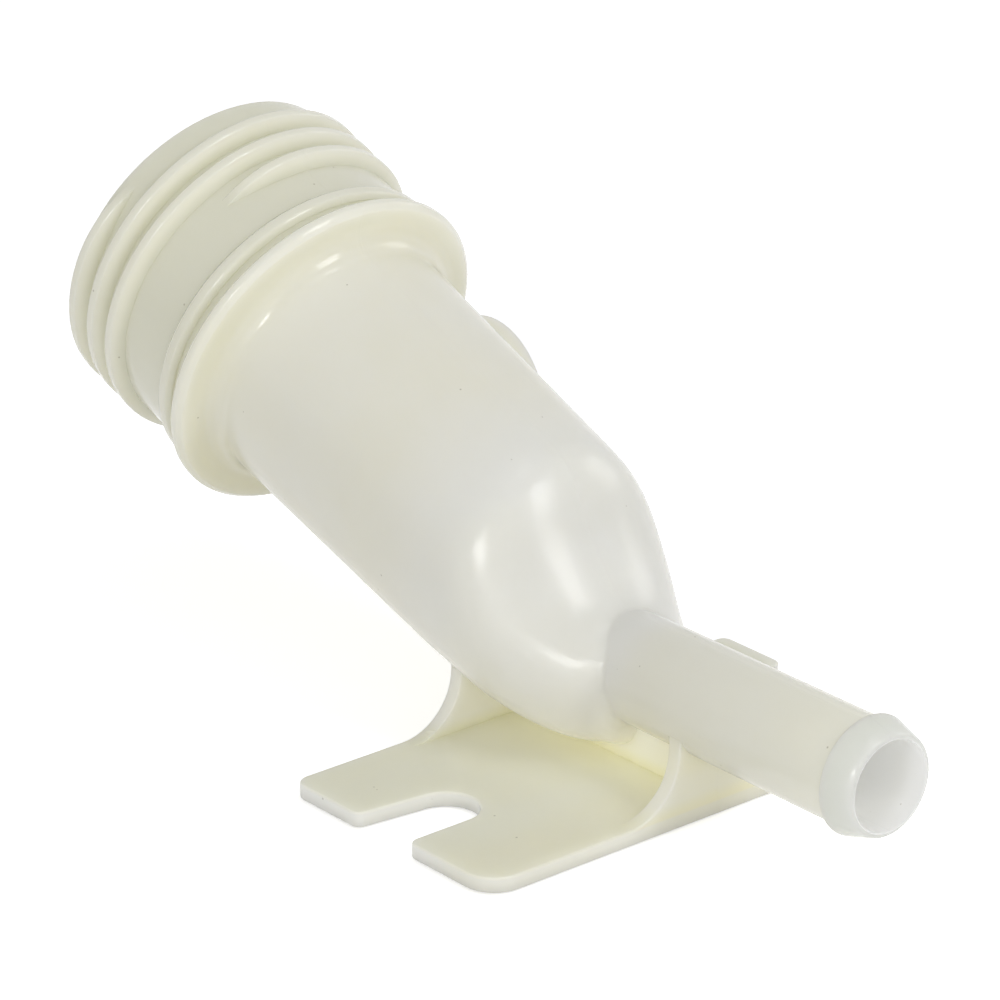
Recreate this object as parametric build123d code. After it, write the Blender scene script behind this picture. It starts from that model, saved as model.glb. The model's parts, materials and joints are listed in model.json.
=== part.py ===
from build123d import *
import os
from math import cos, hypot, radians, sin, tan

# Filler spout of a liquid tank, moulded in one piece of natural plastic.
# A wide neck with a coarse screw thread for a cap leads through a tapered tube and a rounded,
# oval reducer into a hose tail with one barb. The tube leans back over a flat slotted foot.
# Frame: the hose tail points along +X, +Z is up, the mould's parting plane is y = 0.
# Origin: on the underside of the foot, below the point where tube axis and tail axis cross.
# Every length is in millimetres and every angle in degrees.

# Foot plate
foot_thickness = 3.0
foot_back_x = -35.0
foot_front_x = 19.6
foot_near_y = -52.6
foot_far_y = 30.0
foot_front_corner = 6.5
foot_corner = 3.0

# Tongue in the foot's plane at its far edge
tongue_shoulder = 2.7
tongue_width = 16.2
tongue_length = 19.4
tongue_corner = 2.0

# Open slot in the near edge of the foot, its back wall flared towards the mouth
slot_centre_x = -8.9
slot_width = 12.4
slot_depth = 20.0
slot_flare = 1.9
slot_corner = 2.0

# Hose tail
tail_axis_height = 21.4
tail_radius = 10.0
tail_wall = 1.5
tail_length = 63.1
tail_root = 12.0
barb_length = 6.0
barb_height = 1.15
tip_inset = 0.6
tip_edge = 0.6

# Tapered tube, measured along its axis from the point where it crosses the tail's axis
tube_tilt = 20.52
tube_small_radius = 24.4
tube_length = 96.8
wall = 2.6

# Oval reducer between the tube and the tail
reducer_length = 36.0
reducer_lead = 6.0
nose_round = 4.5
nose_fillet = 1.8

# Flange and bead below the thread
flange_thickness = 3.3
flange_lip = 2.9
flange_edge = 1.0
flange_flare = 4.5
flare_steps = 4
bead_gap = 2.6
bead_thickness = 3.6
bead_height = 1.3
bead_edge = 0.9

# Threaded neck
neck_radius = 31.2
neck_step = 5.3
neck_wall = 2.8
neck_length = 30.4
rim_edge = 0.9
thread_pitch = 6.0
thread_height = 2.4
thread_root_gap = 0.4
thread_flank_angle = 36.0
thread_gap = 9.7
thread_turns = 2.95
thread_start_angle = -32.4
thread_fade_angle = 26.0
thread_seat = 0.3

# Gussets, web and side pad
gusset_thickness = 3.0
gusset_radius = 11.5
back_gusset_half_width = 16.0
front_gusset_half_width = 9.0
web_thickness = 2.5
pad_radius = 15.0
pad_station = 77.0
pad_drop = 2.0
pad_height = 0.7

# Sizes that follow from the ones above
tongue_back_x = foot_back_x + tongue_shoulder
tail_bore_radius = tail_radius - tail_wall
barb_start_x = tail_length - barb_length
tube_large_radius = neck_radius - neck_step
tube_taper = (tube_large_radius - tube_small_radius) / (tube_length - reducer_length)
tube_start = reducer_length + reducer_lead
flange_radius = neck_radius + flange_lip
flange_end = tube_length + flange_thickness
bead_start = flange_end + bead_gap
bead_end = bead_start + bead_thickness
bead_radius = neck_radius + bead_height
neck_end = bead_end + neck_length
neck_bore_radius = neck_radius - neck_wall
crossing = Vector(0, 0, tail_axis_height)
tube_axis = Vector(-cos(radians(tube_tilt)), 0, sin(radians(tube_tilt)))
tube_up = Vector(sin(radians(tube_tilt)), 0, cos(radians(tube_tilt)))
# In the tube's own frame x is up across the tube, y is the part's y and z runs to the mouth.
tube_frame = Plane(origin=crossing, x_dir=tube_up, z_dir=tube_axis)

# Oval sections of the reducer: distance from the crossing as a share of the reducer's length,
# then top, bottom and half width as shares of the tube's small radius.
reducer_ovals = (
    (0.93, 0.978, -0.984, 1.000),
    (0.81, 0.896, -0.953, 0.995),
    (0.66, 0.704, -0.917, 0.969),
    (0.50, 0.514, -0.886, 0.907),
    (0.34, 0.376, -0.854, 0.808),
    (0.20, 0.314, -0.816, 0.700),
    (0.06, 0.308, -0.744, 0.550),
)
nose_end_share = -0.10
nose_end_oval = (0.340, -0.640, 0.400)


def tube_radius(station):
    return tube_small_radius + tube_taper * (station - reducer_length)


def oval(station, top, bottom, half_width, inset):
    """Oval across the tube at a station, smaller all round by the inset."""
    half_height = (top - bottom) / 2 - inset
    return Plane(((top + bottom) / 2, 0, station)) * Ellipse(half_height, half_width - inset)


def reducer(inset, step):
    """Reducer from the round tube to a low oval nose, smaller all round by the inset."""
    sections = []
    for station in (tube_start, tube_start - reducer_lead / 2):
        size = tube_radius(station)
        sections.append(oval(station, size, -size, size, inset))
    for share, top, bottom, half_width in reducer_ovals[::step]:
        sizes = [size * tube_small_radius for size in (top, bottom, half_width)]
        sections.append(oval(share * reducer_length, *sizes, inset))
    sizes = [size * tube_small_radius for size in nose_end_oval]
    sections.append(oval(nose_end_share * reducer_length + inset, *sizes, inset))
    return loft(sections)


def nose():
    """Outside of the reducer with its nose end rounded over."""
    body = reducer(0, 1)
    end = body.faces().sort_by(Axis.Z)[0]
    return fillet(end.edges(), nose_round)


def tube_and_neck():
    """Outside of the tube, flange, bead and plain neck, turned about the tube's axis."""
    flare_radius = tube_large_radius + flange_flare
    flare_start = tube_length - flange_flare
    turns = [radians(90 * step / flare_steps) for step in range(flare_steps + 1)]
    flare = [
        (flare_radius - flange_flare * cos(turn), flare_start + flange_flare * sin(turn))
        for turn in turns
    ]
    face = make_face(
        Polyline(
            (0, tube_start),
            (tube_radius(tube_start), tube_start),
            *flare,
            (flange_radius, tube_length),
            (flange_radius, flange_end),
            (neck_radius, flange_end),
            (neck_radius, bead_start),
            (bead_radius, bead_start),
            (bead_radius, bead_end),
            (neck_radius, bead_end),
            (neck_radius, neck_end),
            (0, neck_end),
            close=True,
        )
    )

    def corners(radius, *stations):
        return [
            v for v in face.vertices()
            if abs(v.X - radius) < 0.01 and any(abs(v.Y - s) < 0.01 for s in stations)
        ]

    face = chamfer(corners(flange_radius, tube_length, flange_end), flange_edge)
    face = chamfer(corners(bead_radius, bead_start, bead_end), bead_edge)
    face = chamfer(corners(neck_radius, neck_end), rim_edge)
    return revolve(Plane.XZ * face, Axis.Z)


def neck_bore():
    """Inside of the neck and tube down to the start of the reducer."""
    step = tube_length - wall
    face = make_face(
        Polyline(
            (0, tube_start),
            (tube_radius(tube_start) - wall, tube_start),
            (tube_radius(step) - wall, step),
            (neck_bore_radius, bead_start),
            (neck_bore_radius, neck_end + wall),
            (0, neck_end + wall),
            close=True,
        )
    )
    return revolve(Plane.XZ * face, Axis.Z)


def thread():
    """Single right-hand thread that rises out of the neck and sinks back at both ends."""
    full_turn = 360.0
    steps_per_turn = 16
    total = full_turn * thread_turns
    count = round(steps_per_turn * thread_turns)
    start_station = bead_end + thread_gap
    seat_radius = neck_radius - thread_seat
    sink = thread_height
    points = []
    for index in range(count + 1):
        angle = total * index / count
        fade = max(0.0, 1 - min(angle, total - angle) / thread_fade_angle)
        radius = seat_radius - sink * fade * fade * (3 - 2 * fade)
        turn = radians(thread_start_angle + angle)
        rise = thread_pitch * angle / full_turn
        points.append((radius * cos(turn), radius * sin(turn), start_station + rise))
    path = Spline(*points)
    depth = thread_height + thread_seat
    half_root = (thread_pitch - thread_root_gap) / 2
    half_crest = half_root - depth * tan(radians(thread_flank_angle))
    start = Vector(*points[0])
    outward = Vector(start.X, start.Y, 0).normalized()
    frame = Plane(origin=start, x_dir=outward, z_dir=outward.cross(Vector(0, 0, 1)))
    section = make_face(
        Polyline(
            (0, -half_root), (depth, -half_crest), (depth, half_crest), (0, half_root), close=True
        )
    )
    # The straight guide on the axis keeps the section square to the neck all the way.
    guide = Line((0, 0, start_station), (0, 0, start_station + thread_pitch * thread_turns))
    return sweep(frame * section, path=path, binormal=guide)


def tail():
    """Outside of the hose tail with its barb and rounded tip, turned about the X axis."""
    tip_radius = tail_radius - tip_inset
    face = make_face(
        Polyline(
            (-tail_root, 0),
            (-tail_root, tail_radius),
            (barb_start_x, tail_radius),
            (barb_start_x, tail_radius + barb_height),
            (tail_length, tip_radius),
            (tail_length, 0),
            close=True,
        )
    )
    tip = [v for v in face.vertices() if v.X > tail_length - 0.01 and v.Y > 0.01]
    face = chamfer(tip, tip_edge)
    return Pos(crossing) * revolve(Plane.XZ * face, Axis.X)


def spout_body():
    """Outside of tube, neck, reducer and tail, with a rounded corner where the tail leaves."""
    body = tube_frame * (tube_and_neck() + nose()) + tail()

    def round_the_tail(edge):
        reach = [hypot(p.Y, p.Z - tail_axis_height) for p in (edge @ 0, edge @ 0.5, edge @ 1)]
        return all(abs(r - tail_radius) < 0.02 for r in reach) and (edge @ 0.5).X < tail_radius

    return fillet(body.edges().filter_by(round_the_tail), nose_fillet)


def tail_bore():
    """Straight bore through the hose tail into the reducer."""
    length = tail_root + tail_length + tail_wall
    bore = Cylinder(tail_bore_radius, length, align=(Align.CENTER, Align.CENTER, Align.MIN))
    return Pos(-tail_root, 0, tail_axis_height) * Rot(0, 90, 0) * bore


def foot():
    """Foot plate with its open slot and the tongue at the far edge."""
    plan = Pos((foot_back_x + foot_front_x) / 2, (foot_near_y + foot_far_y) / 2) * Rectangle(
        foot_front_x - foot_back_x, foot_far_y - foot_near_y
    )
    tongue_x = tongue_back_x + tongue_width / 2
    reach = tongue_length + foot_corner
    tongue = Pos(tongue_x, foot_far_y - foot_corner + reach / 2) * Rectangle(tongue_width, reach)
    end_radius = slot_width / 2
    end_y = foot_near_y + slot_depth - end_radius
    past_y = foot_near_y - slot_corner
    slot = Pos(slot_centre_x, end_y) * Circle(end_radius) + make_face(
        Polyline(
            (slot_centre_x - end_radius, end_y),
            (slot_centre_x - end_radius - slot_flare, past_y),
            (slot_centre_x + end_radius, past_y),
            (slot_centre_x + end_radius, end_y),
            close=True,
        )
    )
    plan = plan + tongue - slot

    def corner(x, y):
        return [v for v in plan.vertices() if abs(v.X - x) < 0.01 and abs(v.Y - y) < 0.01]

    def slot_corners():
        return [
            v for v in plan.vertices()
            if abs(v.Y - foot_near_y) < 0.01 and abs(v.X - slot_centre_x) < slot_width
        ]

    plan = fillet(corner(foot_front_x, foot_near_y), foot_front_corner)
    for x, y in ((foot_back_x, foot_near_y), (foot_front_x, foot_far_y)):
        plan = fillet(corner(x, y), foot_corner)
    tongue_far_y = foot_far_y + tongue_length
    for x, y in (
        (foot_back_x, foot_far_y),
        (tongue_back_x, tongue_far_y),
        (tongue_back_x + tongue_width, tongue_far_y),
    ):
        plan = fillet(corner(x, y), tongue_corner)
    plan = fillet(slot_corners(), slot_corner)
    return extrude(plan, foot_thickness)


def gusset(half_width, back_x):
    """Upright wall across the foot, flared to the foot by a quarter round on each side."""
    top = tail_axis_height
    low = foot_thickness
    root = half_width + gusset_radius
    block = Pos(0, (top + low) / 2) * Rectangle(2 * root, top - low)
    for side in (-root, root):
        block -= Pos(side, low + gusset_radius) * Circle(gusset_radius)
        block -= Pos(side, (low + gusset_radius + top) / 2) * Rectangle(
            2 * gusset_radius, top - low - gusset_radius
        )
    block += Pos(0, low * 0.75) * Rectangle(2 * root, low / 2)
    frame = Plane(origin=(back_x, 0, 0), x_dir=(0, 1, 0), z_dir=(1, 0, 0))
    return extrude(frame * block, gusset_thickness)


def web():
    """Thin wall in the parting plane between the foot and the tube."""
    length = foot_front_x - foot_back_x - gusset_thickness
    height = tail_axis_height - foot_thickness / 2
    return Pos((foot_back_x + foot_front_x) / 2, 0, foot_thickness / 2) * Box(
        length, web_thickness, height, align=(Align.CENTER, Align.CENTER, Align.MIN)
    )


def side_pad():
    """Flat round pad on the far flank of the tube."""
    centre = crossing + tube_axis * pad_station - tube_up * pad_drop
    frame = Plane(origin=(centre.X, 0, centre.Z), x_dir=(1, 0, 0), z_dir=(0, 1, 0))
    return extrude(frame * Circle(pad_radius), tube_radius(pad_station) + pad_height)


def filler_spout():
    """The whole moulding: everything outside joined, then everything inside taken away."""
    outside = spout_body() + side_pad()
    outside += gusset(back_gusset_half_width, foot_back_x)
    outside += gusset(front_gusset_half_width, foot_front_x - gusset_thickness)
    outside += web()
    outside += foot()
    outside += tube_frame * thread()
    inside = tube_frame * (neck_bore() + reducer(wall, 2))
    return outside - inside - tail_bore()


os.makedirs("parts", exist_ok=True)
part = filler_spout()
part.label = "filler_spout"
print("volume", round(part.volume), "valid", part.is_valid, "solids", len(part.solids()))
export_step(part, "parts/filler_spout.step")
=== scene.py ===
"""Filler spout: the looks of a one-piece moulding in natural translucent plastic.

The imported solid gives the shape. This script merges a copy of it, rounds its plate edges and the
edges of its thread, bead and flange, gives it the plastic's finish, sets it on a pale floor under
soft studio lamps and places the camera.
"""

import json
import logging
from dataclasses import dataclass
from enum import Enum
from math import cos, pi, prod, radians, sin
from typing import Protocol

import bmesh
import bpy
import numpy as np
from mathutils import Matrix, Vector

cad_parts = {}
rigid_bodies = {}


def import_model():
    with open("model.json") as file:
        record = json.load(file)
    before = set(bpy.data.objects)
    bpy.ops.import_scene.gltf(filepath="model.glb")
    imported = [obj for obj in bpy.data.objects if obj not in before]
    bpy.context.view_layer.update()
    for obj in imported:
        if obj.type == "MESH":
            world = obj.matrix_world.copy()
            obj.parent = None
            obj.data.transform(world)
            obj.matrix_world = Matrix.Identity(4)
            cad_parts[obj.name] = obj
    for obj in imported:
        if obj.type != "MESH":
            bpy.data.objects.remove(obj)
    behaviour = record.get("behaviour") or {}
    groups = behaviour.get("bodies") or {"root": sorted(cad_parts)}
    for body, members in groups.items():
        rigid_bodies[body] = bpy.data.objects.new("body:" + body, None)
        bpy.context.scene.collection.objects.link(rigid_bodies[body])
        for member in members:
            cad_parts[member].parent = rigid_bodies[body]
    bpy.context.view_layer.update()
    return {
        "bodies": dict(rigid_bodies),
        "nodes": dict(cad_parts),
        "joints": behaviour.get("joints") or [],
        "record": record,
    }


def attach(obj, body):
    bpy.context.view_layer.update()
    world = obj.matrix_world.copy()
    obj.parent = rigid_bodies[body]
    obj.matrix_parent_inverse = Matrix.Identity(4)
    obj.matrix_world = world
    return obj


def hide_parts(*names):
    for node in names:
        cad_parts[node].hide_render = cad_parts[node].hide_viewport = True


LOG = logging.getLogger("filler_spout")
Triple = tuple[float, float, float]
BLACK: Triple = (0.0, 0.0, 0.0)
WHITE: Triple = (1.0, 1.0, 1.0)


def linear(red: float, green: float, blue: float) -> Triple:
    """Turns a colour as seen on a screen into the linear light that shaders use.

    Each channel c, as a share of 255, becomes c / 12.92 up to 0.04045 and otherwise
    ((c + 0.055) / 1.055) to the power 2.4.

    Args:
        red: red channel, 0 to 255.
        green: green channel, 0 to 255.
        blue: blue channel, 0 to 255.

    Returns:
        The three linear channels, 0 to 1.
    """
    share = np.array((red, green, blue)) / 255.0
    bright = ((share + 0.055) / 1.055) ** 2.4
    return tuple(float(c) for c in np.where(share <= 0.04045, share / 12.92, bright))


@dataclass(frozen=True)
class Sizes:
    """The moulding's main sizes and places, in metres, in the part's own frame.

    The tube's axis crosses the hose tail's axis above the origin. A station is a distance up the
    tube's axis from there.
    """

    tilt: float = radians(20.52)
    crossing_height: float = 0.0214
    plate_thickness: float = 0.0030
    plate_ends: tuple[float, float] = (-0.0350, 0.0196)
    gusset_thickness: float = 0.0030
    flange_station: float = 0.0968
    rim_station: float = 0.1367
    neck_radius: float = 0.0312

    @property
    def tube_axis(self) -> Triple:
        """Direction of the tube's axis, towards the mouth."""
        return -cos(self.tilt), 0.0, sin(self.tilt)

    @property
    def inner_sides(self) -> tuple[float, float]:
        """Places along the hose tail of the gussets' sides that face each other."""
        back, front = self.plate_ends
        return back + self.gusset_thickness, front - self.gusset_thickness


@dataclass(frozen=True)
class Value:
    """A number that changes over a surface: a socket whose arithmetic adds Math nodes."""

    nodes: "Nodes"
    socket: bpy.types.NodeSocket

    def _maths(self, operation: str, *others: "Value | float") -> "Value":
        """Adds a Math node that works on this value and the others."""
        return self.nodes.maths(operation, self, *others)

    def __add__(self, other: "Value | float") -> "Value":
        """Sum of this value and another."""
        return self._maths("ADD", other)

    __radd__ = __add__

    def __sub__(self, other: "Value | float") -> "Value":
        """This value less another."""
        return self._maths("SUBTRACT", other)

    def __rsub__(self, other: float) -> "Value":
        """A number less this value."""
        return self.nodes.maths("SUBTRACT", other, self)

    def __mul__(self, other: "Value | float") -> "Value":
        """Product of this value and another."""
        return self._maths("MULTIPLY", other)

    __rmul__ = __mul__

    def __abs__(self) -> "Value":
        """This value without its sign."""
        return self._maths("ABSOLUTE")

    def length_with(self, other: "Value") -> "Value":
        """Root of the sum of the squares of this value and another."""
        return (self * self + other * other)._maths("SQRT")

    def fade(self, nothing: float, full: float) -> "Value":
        """Smooth mask that goes from 0 to 1, whichever way the value runs.

        Args:
            nothing: where the mask is 0, as it is beyond.
            full: where the mask is 1, as it is beyond.

        Returns:
            The mask, 0 to 1.
        """
        node = self.nodes.node(
            "ShaderNodeMapRange",
            {"interpolation_type": "SMOOTHSTEP"},
            {"Value": self, "From Min": nothing, "From Max": full},
        )
        return Value(self.nodes, node.outputs["Result"])


class Nodes:
    """A node tree, written as expressions."""

    def __init__(self, tree: bpy.types.NodeTree) -> None:
        """Empties a tree to start with.

        Args:
            tree: the tree that the nodes go into.
        """
        self.tree = tree
        self.tree.nodes.clear()

    def node(self, kind: str, settings: dict, sockets: dict) -> bpy.types.Node:
        """Adds a node, sets its settings first and then its sockets.

        Args:
            kind: the node's type.
            settings: attributes of the node, such as a Math node's operation.
            sockets: values, Values or output sockets by input name or number.

        Returns:
            The new node.
        """
        node = self.tree.nodes.new(kind)
        for key, setting in settings.items():
            setattr(node, key, setting)
        for key, content in sockets.items():
            self.feed(node.inputs[key], content)
        return node

    def feed(self, socket: bpy.types.NodeSocket, content: object) -> None:
        """Links a Value or an output socket to an input, or sets the input's own value."""
        if isinstance(content, Value):
            content = content.socket
        if isinstance(content, bpy.types.NodeSocket):
            self.tree.links.new(content, socket)
        elif isinstance(content, tuple) and socket.type == "RGBA":
            socket.default_value = (*content, 1.0)
        else:
            socket.default_value = content

    def maths(self, operation: str, *values: Value | float) -> Value:
        """Adds a Math node.

        Args:
            operation: the Math node's operation.
            values: its inputs in order.

        Returns:
            The node's result.
        """
        node = self.node("ShaderNodeMath", {"operation": operation}, dict(enumerate(values)))
        return Value(self, node.outputs[0])

    def close(self, output: str, shader: bpy.types.Node) -> None:
        """Ends the tree: an output node of the given type, fed by a shader node."""
        self.node(output, {}, {"Surface": shader.outputs[0]})


class Paint(Nodes):
    """A material's node tree.

    The Mix node's colour sockets go by number, as those for numbers and vectors have their names.
    """

    COLOUR_INPUTS = (6, 7)
    COLOUR_OUTPUT = 2

    def __init__(self, name: str) -> None:
        """Makes an empty material.

        Args:
            name: the material's name.
        """
        self.material = bpy.data.materials.new(name)
        self.material.use_nodes = True
        super().__init__(self.material.node_tree)
        self.place = self.node("ShaderNodeTexCoord", {}, {}).outputs["Object"]

    def axes(self) -> tuple[Value, Value, Value]:
        """The surface point's x, y and z in metres, in the part's own frame."""
        split = self.node("ShaderNodeSeparateXYZ", {}, {0: self.place})
        return tuple(Value(self, split.outputs[name]) for name in "XYZ")

    def noise(self, scale: float, detail: float = 1.0) -> Value:
        """Cloudy value around one half.

        Args:
            scale: clouds to a metre.
            detail: how many finer layers lie on top.

        Returns:
            The cloudiness, mostly 0.3 to 0.7.
        """
        sockets = {"Vector": self.place, "Scale": scale, "Detail": detail}
        return Value(self, self.node("ShaderNodeTexNoise", {}, sockets).outputs["Fac"])

    def cells(self, scale: float) -> tuple[Value, Value]:
        """Scattered points: distance to the nearest one, and that point's own random number.

        Args:
            scale: points to a metre along each axis.

        Returns:
            The distance in shares of a cell, and the random number, 0 to 1.
        """
        node = self.node("ShaderNodeTexVoronoi", {}, {"Vector": self.place, "Scale": scale})
        split = self.node("ShaderNodeSeparateColor", {}, {0: node.outputs["Color"]})
        return Value(self, node.outputs["Distance"]), Value(self, split.outputs[0])

    def mix(self, mask: Value, first: object, second: object) -> bpy.types.NodeSocket:
        """Colour that goes from the first to the second as the mask goes from 0 to 1.

        Args:
            mask: share of the second colour.
            first: a colour or a colour socket.
            second: a colour or a colour socket.

        Returns:
            The mixed colour's socket.
        """
        start, end = self.COLOUR_INPUTS
        sockets = {0: mask, start: first, end: second}
        node = self.node("ShaderNodeMix", {"data_type": "RGBA"}, sockets)
        return node.outputs[self.COLOUR_OUTPUT]


class Measure(Enum):
    """What tells one place on the moulding from another, in metres."""

    ALONG_TAIL = "place along the hose tail, 0 where the axes cross"
    HEIGHT = "height above the foot's underside"
    FROM_PARTING = "distance from the mould's parting plane"
    FROM_TAIL_AXIS = "distance from the hose tail's axis"
    STATION = "distance up the tube's axis from where the axes cross"
    ABOVE_TUBE_AXIS = "place across the tube's axis in the parting plane, up is positive"
    FROM_TUBE_AXIS = "distance from the tube's axis"


@dataclass(frozen=True)
class Fade:
    """A smooth change along one measure, from nothing at one place to full at another."""

    measure: Measure
    nothing: float
    full: float


@dataclass(frozen=True)
class Patch:
    """A place on the skin: where all its fades are full it has its strength, elsewhere less."""

    strength: float
    fades: tuple[Fade, ...]


class SpoutPaint(Paint):
    """A material of the moulding, which knows where each surface point lies."""

    def __init__(self, name: str, sizes: Sizes) -> None:
        """Makes an empty material and works out every measure.

        Args:
            name: the material's name.
            sizes: the moulding's sizes.
        """
        super().__init__(name)
        x, y, z = self.axes()
        above = z - sizes.crossing_height
        across = x * sin(sizes.tilt) + above * cos(sizes.tilt)
        self.measures = {
            Measure.ALONG_TAIL: x,
            Measure.HEIGHT: z,
            Measure.FROM_PARTING: abs(y),
            Measure.FROM_TAIL_AXIS: y.length_with(above),
            Measure.STATION: above * sin(sizes.tilt) - x * cos(sizes.tilt),
            Measure.ABOVE_TUBE_AXIS: across,
            Measure.FROM_TUBE_AXIS: across.length_with(y),
        }

    def mask(self, *patches: Patch) -> Value:
        """Mask of some patches: each one's strength times its fades, all added up.

        Args:
            patches: the patches that show the same thing.

        Returns:
            The mask.
        """
        masks = []
        for patch in patches:
            fades = (
                self.measures[fade.measure].fade(fade.nothing, fade.full) for fade in patch.fades
            )
            masks.append(prod(fades, start=patch.strength))
        return sum(masks[1:], start=masks[0])


IN_TAIL_BORE = (
    Fade(Measure.FROM_TAIL_AXIS, 0.0088, 0.0086),
    Fade(Measure.ALONG_TAIL, 0.004, 0.020),
)


@dataclass(frozen=True)
class NaturalPlastic:
    """Unpigmented, milky plastic with a satin skin, as it comes from the mould."""

    body: Triple = linear(243, 240, 221)
    cloudy: Triple = linear(249, 249, 240)
    # Painted yellow shade for creases, undersides and the gaps between thread ridges; also the hose
    # tail's yellower tone.
    shade_and_tail_yellow: Triple = linear(253, 243, 190)
    # Painted shade: the neck is drawn darker, and darkest on the core between the thread ridges.
    neck_shade: Triple = linear(228, 227, 209)
    # Painted shade: the barb is drawn darker and greyer.
    barb_shade: Triple = linear(218, 221, 214)
    lit_bore: Triple = linear(254, 254, 249)
    speck: Triple = linear(140, 128, 96)

    cloud_scale: float = 26.0
    cloud_detail: float = 3.0
    cloud_range: tuple[float, float] = (0.35, 0.70)
    cloud_strength: float = 0.35
    speck_scale: float = 230.0
    speck_reach: tuple[float, float] = (0.06, 0.03)
    speck_chance: tuple[float, float] = (0.60, 0.61)
    speck_strength: float = 0.45

    roughness: float = 0.18
    roughness_scale: float = 60.0
    roughness_spread: float = 0.06
    subsurface: float = 1.0
    subsurface_depth: float = 0.005
    subsurface_spread: Triple = (0.95, 0.97, 1.0)
    index: float = 1.49
    glow: float = 0.10

    wave_scale: float = 38.0
    grain_scale: float = 500.0
    grain_strength: float = 0.03
    relief: float = 0.5
    relief_depth: float = 0.0006

    milky_reducer: Patch = Patch(
        0.50, (Fade(Measure.STATION, 0.055, 0.030), Fade(Measure.ALONG_TAIL, 0.012, 0.000))
    )
    # Painted yellow shade on the plate's top and on its flare up to the gussets.
    painted_shade_plate: Patch = Patch(
        0.30, (Fade(Measure.HEIGHT, 0.0060, 0.0032), Fade(Measure.HEIGHT, 0.0024, 0.0030))
    )
    yellow_tail: Patch = Patch(
        0.16,
        (
            Fade(Measure.ALONG_TAIL, 0.000, 0.008),
            Fade(Measure.ALONG_TAIL, 0.0570, 0.0560),
            Fade(Measure.HEIGHT, 0.008, 0.012),
        ),
    )
    # Painted yellow shade under the tube, in the foot's crease, between the thread ridges and under
    # the flange.
    painted_shade_underside: Patch = Patch(
        0.16, (Fade(Measure.ABOVE_TUBE_AXIS, -0.004, -0.020), Fade(Measure.STATION, 0.030, 0.050))
    )
    painted_shade_crease: Patch = Patch(
        0.26,
        (
            Fade(Measure.FROM_PARTING, 0.015, 0.000),
            Fade(Measure.HEIGHT, 0.013, 0.003),
            Fade(Measure.ALONG_TAIL, -0.036, -0.028),
            Fade(Measure.ALONG_TAIL, 0.016, 0.006),
        ),
    )
    painted_shade_core: Patch = Patch(
        0.08, (Fade(Measure.STATION, 0.1000, 0.1008), Fade(Measure.FROM_TUBE_AXIS, 0.0325, 0.0313))
    )
    painted_shade_flange_root: Patch = Patch(
        0.05, (Fade(Measure.STATION, 0.0900, 0.0968), Fade(Measure.STATION, 0.0970, 0.0968))
    )
    # Painted shade: the neck is drawn darker, and darkest on the core between the thread ridges.
    shaded_neck: Patch = Patch(0.45, (Fade(Measure.STATION, 0.092, 0.104),))
    shaded_core: Patch = Patch(
        0.55, (Fade(Measure.STATION, 0.092, 0.104), Fade(Measure.FROM_TUBE_AXIS, 0.0330, 0.0314))
    )
    # Painted shade: the barb is drawn darker and greyer.
    shaded_barb: Patch = Patch(0.80, (Fade(Measure.ALONG_TAIL, 0.0565, 0.0575),))
    lit_tail_bore: Patch = Patch(1.0, IN_TAIL_BORE)
    glowing_tail_bore: Patch = Patch(0.5, IN_TAIL_BORE)
    glowing_crease: Patch = Patch(
        0.8,
        (
            Fade(Measure.FROM_PARTING, 0.030, 0.002),
            Fade(Measure.HEIGHT, 0.016, 0.004),
            Fade(Measure.ALONG_TAIL, -0.036, -0.024),
            Fade(Measure.ALONG_TAIL, 0.022, 0.012),
        ),
    )
    polished_neck: Patch = Patch(0.12, (Fade(Measure.STATION, 0.088, 0.096),))
    parting_line: Patch = Patch(0.08, (Fade(Measure.FROM_PARTING, 0.0004, 0.0000),))

    def material(self, sizes: Sizes) -> bpy.types.Material:
        """Builds the plastic's shader.

        Light that has come through the walls fills the foot's crease and the hose tail's bore,
        and a weak light of the skin's own stands for it.

        Args:
            sizes: the moulding's sizes.

        Returns:
            The material.
        """
        paint = SpoutPaint("natural_plastic", sizes)
        lit = paint.mask(self.glowing_crease, self.glowing_tail_bore)
        skin = paint.node(
            "ShaderNodeBsdfPrincipled",
            {"subsurface_method": "RANDOM_WALK"},
            {
                "Base Color": self.colour(paint),
                "Roughness": self.skin_roughness(paint),
                "IOR": self.index,
                "Subsurface Weight": self.subsurface,
                "Subsurface Scale": self.subsurface_depth,
                "Subsurface Radius": self.subsurface_spread,
                "Emission Color": paint.mix(lit, BLACK, self.cloudy),
                "Emission Strength": self.glow,
                "Normal": self.skin_relief(paint),
            },
        )
        paint.close("ShaderNodeOutputMaterial", skin)
        return paint.material

    def colour(self, paint: SpoutPaint) -> bpy.types.NodeSocket:
        """Colour of the skin.

        The body's colour comes first. Over it lie milky clouds, painted yellow shade in the creases
        and hollows with the hose tail's yellower tone, painted shade on the neck and barb, painted
        light in the bore, and specks of dust.

        Args:
            paint: the plastic's node tree.

        Returns:
            The colour's socket.
        """
        layers = (
            (self.clouds(paint) + paint.mask(self.milky_reducer), self.cloudy),
            # painted yellow shade, and the hose tail's yellower tone
            (self.yellow_shade_and_tail_tone(paint), self.shade_and_tail_yellow),
            # painted shade on the neck
            (paint.mask(self.shaded_neck, self.shaded_core), self.neck_shade),
            # painted shade on the barb
            (paint.mask(self.shaded_barb), self.barb_shade),
            (paint.mask(self.lit_tail_bore), self.lit_bore),
            (self.specks(paint), self.speck),
        )
        colour = self.body
        for mask, shade in layers:
            colour = paint.mix(mask, colour, shade)
        return colour

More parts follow.
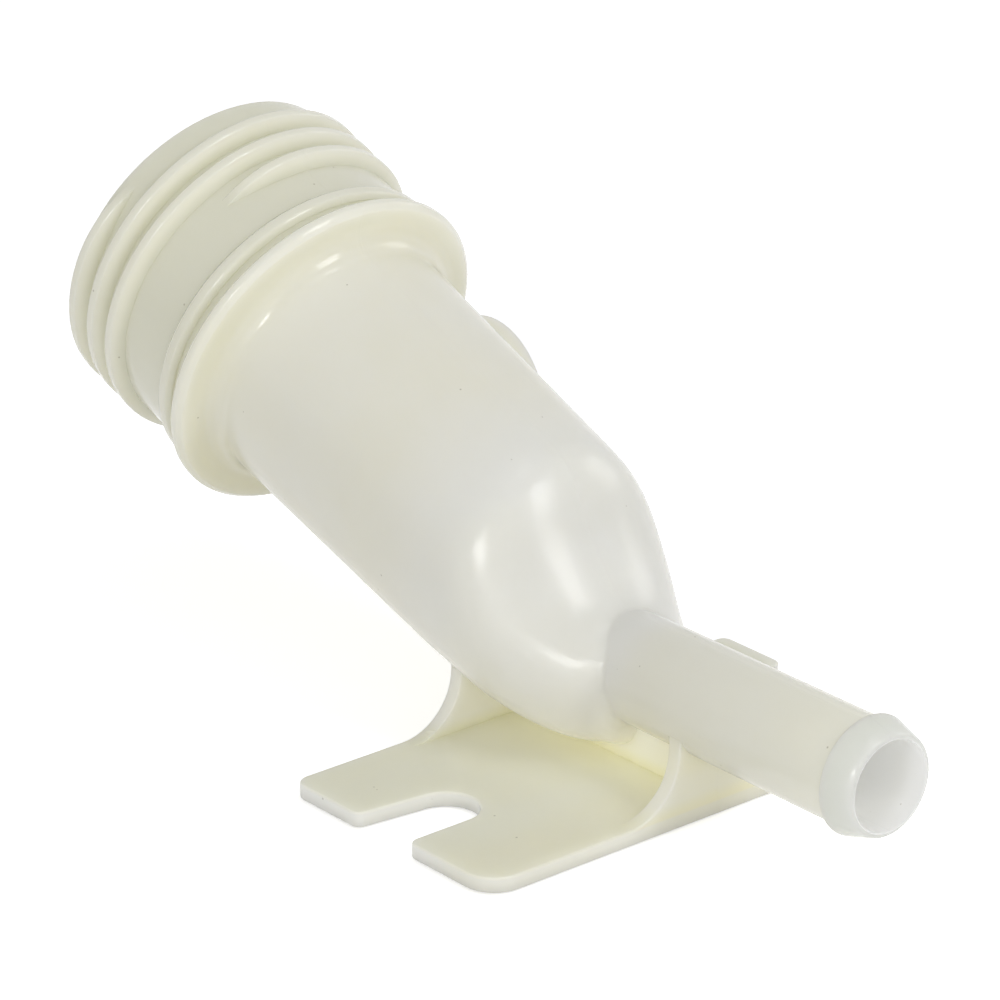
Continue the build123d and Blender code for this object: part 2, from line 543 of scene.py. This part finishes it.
    def clouds(self, paint: SpoutPaint) -> Value:
        """Soft milky clouds all over the moulding."""
        cloudiness = paint.noise(self.cloud_scale, self.cloud_detail)
        return cloudiness.fade(*self.cloud_range) * self.cloud_strength

    def yellow_shade_and_tail_tone(self, paint: SpoutPaint) -> Value:
        """Painted yellow shade on the plate, under the tube and flange, in the crease and on the
        neck's core, plus the hose tail's yellower tone.
        """
        return paint.mask(
            self.painted_shade_plate,
            self.yellow_tail,
            self.painted_shade_underside,
            self.painted_shade_crease,
            self.painted_shade_core,
            self.painted_shade_flange_root,
        )

    def specks(self, paint: SpoutPaint) -> Value:
        """Sparse dark specks of dust in the melt, up to half a millimetre across."""
        distance, chance = paint.cells(self.speck_scale)
        return distance.fade(*self.speck_reach) * chance.fade(*self.speck_chance) * self.speck_strength

    def skin_roughness(self, paint: SpoutPaint) -> Value:
        """Roughness of the skin: slightly uneven, and lower on the neck."""
        uneven = paint.noise(self.roughness_scale) * self.roughness_spread
        return uneven + self.roughness - paint.mask(self.polished_neck)

    def skin_relief(self, paint: SpoutPaint) -> bpy.types.NodeSocket:
        """Relief of the skin: slow sink waves, a fine satin grain and the parting line.

        Args:
            paint: the plastic's node tree.

        Returns:
            The Bump node's normal.
        """
        waves = paint.noise(self.wave_scale)
        grain = paint.noise(self.grain_scale) * self.grain_strength
        height = waves + grain + paint.mask(self.parting_line)
        sockets = {"Strength": self.relief, "Distance": self.relief_depth, "Height": height}
        return paint.node("ShaderNodeBump", {}, sockets).outputs["Normal"]


class Rounding(Protocol):
    """A rule on which standing edges get a round."""

    def share(self, edge: bmesh.types.BMEdge) -> float:
        """Share of the full round that an edge gets, 0 to 1."""


@dataclass(frozen=True)
class PlaneEdges:
    """Rounds the edges that lie in a plane, given by its normal and its distance from the origin."""

    normal: Triple
    distance: float
    start_height: float = -0.001
    rise: float = 0.001
    near: float = 2e-5

    def share(self, edge: bmesh.types.BMEdge) -> float:
        """Share of the full round that an edge gets.

        Args:
            edge: a standing edge.

        Returns:
            Nothing if an end lies off the plane, else 0 to 1 over the rise above the start height.
        """
        normal = Vector(self.normal)
        if any(abs(vert.co.dot(normal) - self.distance) > self.near for vert in edge.verts):
            return 0.0
        height = middle(edge).z
        return float(np.clip((height - self.start_height) / self.rise, 0.0, 1.0))


@dataclass(frozen=True)
class NeckEdges:
    """Rounds the standing edges of flange, bead and thread more narrowly.

    The round grows between a low and a high place over the neck's core to the most it may be.
    """

    sizes: Sizes
    before_flange: float = 0.0008
    low: float = 0.0009
    high: float = 0.0013
    most: float = 0.7

    def share(self, edge: bmesh.types.BMEdge) -> float:
        """Share of the full round that an edge gets.

        Args:
            edge: a standing edge.

        Returns:
            Nothing below the flange and on the neck's core, else rising with height over the core.
        """
        axis = Vector(self.sizes.tube_axis)
        place = middle(edge) - Vector((0.0, 0.0, self.sizes.crossing_height))
        station = place.dot(axis)
        if station < self.sizes.flange_station - self.before_flange:
            return 0.0
        height = (place - axis * station).length - self.sizes.neck_radius
        return self.most * float(np.clip((height - self.low) / (self.high - self.low), 0.0, 1.0))


def middle(edge: bmesh.types.BMEdge) -> Vector:
    """The point halfway along an edge."""
    return (edge.verts[0].co + edge.verts[1].co) / 2


@dataclass
class SpoutMoulding:
    """The whole moulding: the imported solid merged, with rounded edges and smooth walls."""

    sizes: Sizes
    node: str = "filler_spout"
    merge: float = 1e-6
    flatness: float = radians(0.1)
    crease: float = radians(50.0)
    least_round: float = radians(40.0)
    round_width: float = 0.0004
    round_steps: int = 3
    gusset_round_start: float = 0.0045
    gusset_round_rise: float = 0.0040

    def rounds(self) -> list[Rounding]:
        """What gets a round: foot plate, gussets, the neck's rim and its ridges.

        On the gussets' inner sides the round grows from nothing just above the plate's flare, so
        that it leaves no notch there.

        Returns:
            The rules.
        """
        sizes = self.sizes
        up, along = (0.0, 0.0, 1.0), (1.0, 0.0, 0.0)
        rim = sizes.rim_station + sizes.crossing_height * sin(sizes.tilt)
        rules = [
            PlaneEdges(up, 0.0),
            PlaneEdges(up, sizes.plate_thickness),
            PlaneEdges(sizes.tube_axis, rim),
            NeckEdges(sizes),
        ]
        rules += [PlaneEdges(along, end) for end in sizes.plate_ends]
        rules += [
            PlaneEdges(along, side, self.gusset_round_start, self.gusset_round_rise)
            for side in sizes.inner_sides
        ]
        return rules

    def build(self, frame: dict, finish: NaturalPlastic) -> bpy.types.Object:
        """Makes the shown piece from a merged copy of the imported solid.

        Args:
            finish: the plastic it is dressed in.

        Returns:
            The piece.
        """
        mesh = frame["nodes"][self.node].data.copy()
        work = bmesh.new()
        work.from_mesh(mesh)
        bmesh.ops.remove_doubles(work, verts=work.verts, dist=self.merge)
        self.join_flats(work)
        for face in work.faces:
            face.smooth = True
        self.mark_edges(work)
        work.to_mesh(mesh)
        work.free()
        piece = bpy.data.objects.new("spout_moulding", mesh)
        bpy.context.scene.collection.objects.link(piece)
        self.add_modifiers(piece)
        mesh.materials.clear()
        mesh.materials.append(finish.material(self.sizes))
        return piece

    def add_modifiers(self, piece: bpy.types.Object) -> None:
        """Rounds the marked edges, and lets the large faces set the shading beside them."""
        rounds = piece.modifiers.new("edge_rounds", "BEVEL")
        rounds.limit_method = "WEIGHT"
        rounds.width = self.round_width
        rounds.segments = self.round_steps
        rounds.use_clamp_overlap = False
        normals = piece.modifiers.new("even_normals", "WEIGHTED_NORMAL")
        normals.mode = "FACE_AREA_WITH_ANGLE"
        normals.keep_sharp = True

    def join_flats(self, work: bmesh.types.BMesh) -> None:
        """Joins the triangles of each flat face that is square to an axis into one polygon."""
        level = cos(self.flatness)
        flat = [
            edge
            for edge in work.edges
            if edge.calc_face_angle(pi) < self.flatness
            and max(abs(part) for part in edge.link_faces[0].normal) > level
        ]
        bmesh.ops.dissolve_limit(
            work, angle_limit=self.flatness, use_dissolve_boundaries=False, verts=[], edges=flat
        )

    def mark_edges(self, work: bmesh.types.BMesh) -> None:
        """Marks sharp edges as creases, and gives standing ones their share of a round.

        Args:
            work: the merged mesh.
        """
        rules = self.rounds()
        weight = work.edges.layers.float.new("bevel_weight_edge")
        for edge in work.edges:
            angle = edge.calc_face_angle(0.0)
            edge.smooth = angle <= self.crease
            standing = angle > self.least_round and edge.is_convex
            share = max(rule.share(edge) for rule in rules) if standing else 0.0
            if share > 0.0:
                edge[weight] = share
                edge.smooth = True


@dataclass(frozen=True)
class SoftBox:
    """A rectangular lamp that looks at the middle of the part."""

    name: str
    azimuth: float
    elevation: float
    distance: float
    width: float
    height: float
    radiance: float
    target: Triple = (-0.03, 0.0, 0.04)

    def build(self) -> bpy.types.Object:
        """Makes the lamp.

        Its power is radiance times pi times its area.

        Returns:
            The lamp object.
        """
        data = bpy.data.lights.new(self.name, "AREA")
        data.shape = "RECTANGLE"
        data.size = self.width
        data.size_y = self.height
        data.energy = self.radiance * pi * self.width * self.height
        lamp = bpy.data.objects.new(self.name, data)
        turn = radians(self.azimuth)
        rise = radians(self.elevation)
        out = Vector((cos(turn) * cos(rise), sin(turn) * cos(rise), sin(rise)))
        lamp.location = Vector(self.target) + out * self.distance
        lamp.rotation_euler = out.to_track_quat("Z", "Y").to_euler()
        bpy.context.scene.collection.objects.link(lamp)
        return lamp


class Ray(Enum):
    """Kinds of ray that see the white background."""

    CAMERA = "Is Camera Ray"
    GLOSSY = "Is Glossy Ray"
    TRANSMISSION = "Is Transmission Ray"


@dataclass(frozen=True)
class Studio:
    """Pale floor, plain surroundings and soft lamps."""

    lamps: tuple[SoftBox, ...] = (
        SoftBox("left_box", -66.0, 24.0, 1.3, 0.36, 0.30, 7.0),
        SoftBox("right_box", 12.0, 40.0, 1.3, 0.38, 0.66, 4.6),
        SoftBox("rear_box", 78.0, 22.0, 1.4, 0.60, 0.50, 1.5),
        SoftBox("front_fill", -50.0, 6.0, 1.8, 1.80, 1.20, 0.72),
        SoftBox("tail_fill", -4.0, 6.0, 1.6, 0.90, 0.90, 0.35),
        SoftBox("top_box", 30.0, 82.0, 1.3, 0.22, 0.22, 3.0),
    )
    floor_half: float = 4.0
    floor_height: float = -0.0004
    floor_colour: Triple = (0.86, 0.86, 0.86)
    floor_lift: float = 0.55
    fill: float = 0.45

    def build(self) -> None:
        """Makes the lamps, the floor and the surroundings."""
        for lamp in self.lamps:
            lamp.build()
        self.floor()
        self.surroundings()

    def floor(self) -> bpy.types.Object:
        """Makes the floor: pale under the lamps, and lifted to white for camera and gloss.

        Returns:
            The floor object.
        """
        half, level = self.floor_half, self.floor_height
        signs = ((-1, -1), (1, -1), (1, 1), (-1, 1))
        mesh = bpy.data.meshes.new("pale_floor")
        mesh.from_pydata([(half * x, half * y, level) for x, y in signs], [], [(0, 1, 2, 3)])
        mesh.materials.append(self.floor_material())
        floor = bpy.data.objects.new("pale_floor", mesh)
        bpy.context.scene.collection.objects.link(floor)
        return floor

    def floor_material(self) -> bpy.types.Material:
        """Builds the floor's shader: matt, so that it keeps shadows, plus the lift to white."""
        paint = Paint("floor_white")
        lift = self.seen(paint) * self.floor_lift
        matt = paint.node("ShaderNodeBsdfDiffuse", {}, {"Color": self.floor_colour})
        glow = paint.node("ShaderNodeEmission", {}, {"Strength": lift})
        both = paint.node("ShaderNodeAddShader", {}, {0: matt.outputs[0], 1: glow.outputs[0]})
        paint.close("ShaderNodeOutputMaterial", both)
        return paint.material

    def surroundings(self) -> None:
        """Makes the world: white where it is seen or mirrored, a plain fill elsewhere."""
        world = bpy.data.worlds.new("studio")
        bpy.context.scene.world = world
        world.use_nodes = True
        nodes = Nodes(world.node_tree)
        strength = self.seen(nodes) * (1.0 - self.fill) + self.fill
        ground = nodes.node("ShaderNodeBackground", {}, {"Color": WHITE, "Strength": strength})
        nodes.close("ShaderNodeOutputWorld", ground)

    @staticmethod
    def seen(nodes: Nodes) -> Value:
        """One for rays that see the white background, else nothing.

        Args:
            nodes: the tree that asks.

        Returns:
            The mask.
        """
        path = nodes.node("ShaderNodeLightPath", {}, {})
        camera, *others = [Value(nodes, path.outputs[ray.value]) for ray in Ray]
        return nodes.maths("MINIMUM", sum(others, start=camera), 1.0)


@dataclass(frozen=True)
class Viewpoint:
    """The photograph's camera, in the part's frame, in metres."""

    position: Triple = (0.6284, -0.5642, 0.4023)
    forward: Triple = (-0.706, 0.596, -0.381)
    focal_pixels: float = 5180.5
    image_pixels: float = 1000.0
    sensor_mm: float = 36.0
    reach: float = 20.0

    def build(self) -> bpy.types.Object:
        """Makes the camera and sets it as the scene's.

        Returns:
            The camera object.
        """
        data = bpy.data.cameras.new("photo_camera")
        data.sensor_width = self.sensor_mm
        data.sensor_fit = "HORIZONTAL"
        data.lens = self.focal_pixels * self.sensor_mm / self.image_pixels
        data.clip_end = self.reach
        camera = bpy.data.objects.new("photo_camera", data)
        ahead = Vector(self.forward).normalized()
        right = ahead.cross(Vector((0, 0, 1))).normalized()
        up = right.cross(ahead)
        axes = Matrix((right, up, -ahead)).transposed().to_4x4()
        camera.matrix_world = Matrix.Translation(self.position) @ axes
        bpy.context.scene.collection.objects.link(camera)
        bpy.context.scene.camera = camera
        return camera


def main() -> None:
    """Builds the scene in order: camera, moulding and studio, then sets the view transform."""
    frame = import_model()
    Viewpoint().build()
    LOG.info("camera: at the photograph's viewpoint")
    moulding = SpoutMoulding(Sizes()).build(frame, NaturalPlastic())
    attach(moulding, "root")
    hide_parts("filler_spout")
    LOG.info("moulding: %d faces", len(moulding.data.polygons))
    Studio().build()
    LOG.info("studio: floor, surroundings and lamps")
    bpy.context.scene.view_settings.view_transform = "Standard"


if __name__ == "__main__":
    logging.basicConfig(level=logging.INFO, format="%(message)s")
    main()
